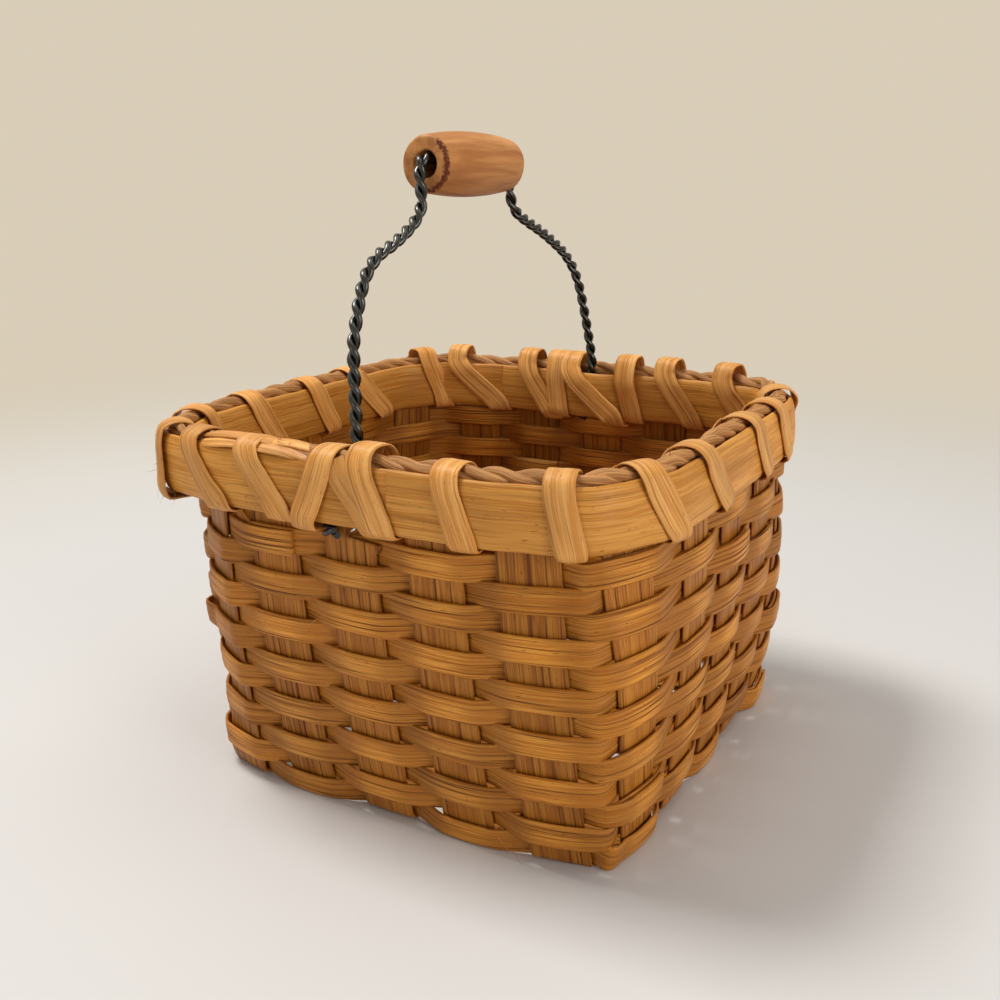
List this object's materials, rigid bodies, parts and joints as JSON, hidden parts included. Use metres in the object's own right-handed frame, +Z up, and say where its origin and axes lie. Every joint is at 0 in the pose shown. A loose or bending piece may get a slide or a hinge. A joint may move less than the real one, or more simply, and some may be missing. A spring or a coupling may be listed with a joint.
{
  "type": "splint basket",
  "caption": "Small square basket woven of flat wood splints, with a lashed rim and a twisted wire bail that carries a turned wooden grip.",
  "frame": {"origin": "on the ground under the middle of the whole part", "axes": "+Z up, X along the front wall, +Y from the front wall to the back wall; the bail spans front to back"},
  "size_m": [0.131, 0.1356, 0.1462],
  "materials": {
    "splint": "honey brown split wood, dry, fine grain along the strip",
    "weaver": "honey brown split wood, dry, ridged grain",
    "rim_splint": "lighter honey splint with a slight sheen",
    "rush": "dry twisted rush, rough",
    "wire": "near black wire with a green cast, glossy",
    "grip_wood": "turned light wood, satin, scorched round the bore"
  },
  "bodies": {
    "basket": {"long_splint_1": "splint", "long_splint_2": "splint", "long_splint_3": "splint", "long_splint_4": "splint", "long_splint_5": "splint", "cross_splint_1": "splint", "cross_splint_2": "splint", "cross_splint_3": "splint", "cross_splint_4": "splint", "cross_splint_5": "splint", "weaver_row_1": "weaver", "weaver_row_2": "weaver", "weaver_row_3": "weaver", "weaver_row_4": "weaver", "weaver_row_5": "weaver", "weaver_row_6": "weaver", "weaver_row_7": "weaver", "weaver_row_8": "weaver", "weaver_row_9": "weaver", "weaver_row_10": "weaver", "weaver_row_11": "weaver", "weaver_row_12": "weaver", "weaver_row_13": "weaver", "rim_row": "weaver", "rim_band_outer": "rim_splint", "rim_band_inner": "rim_splint", "rim_filler": "rush", "rim_lashing": "rim_splint"},
    "bail": {"bail_wire_1": "wire", "bail_wire_2": "wire"},
    "grip": {"grip": "grip_wood"}
  },
  "joints": [
    {"name": "bail_rock", "type": "hinge", "parent": "basket", "child": "bail", "pos_m": [-0.00471, -0.00017, 0.0679], "axis": [0, 1, 0], "range_deg": [-3, 3]},
    {"name": "grip_spin", "type": "hinge", "parent": "bail", "child": "grip", "pos_m": [-0.00541, -0.00323, 0.139], "axis": [0, 1, 0], "continuous": true}
  ]
}
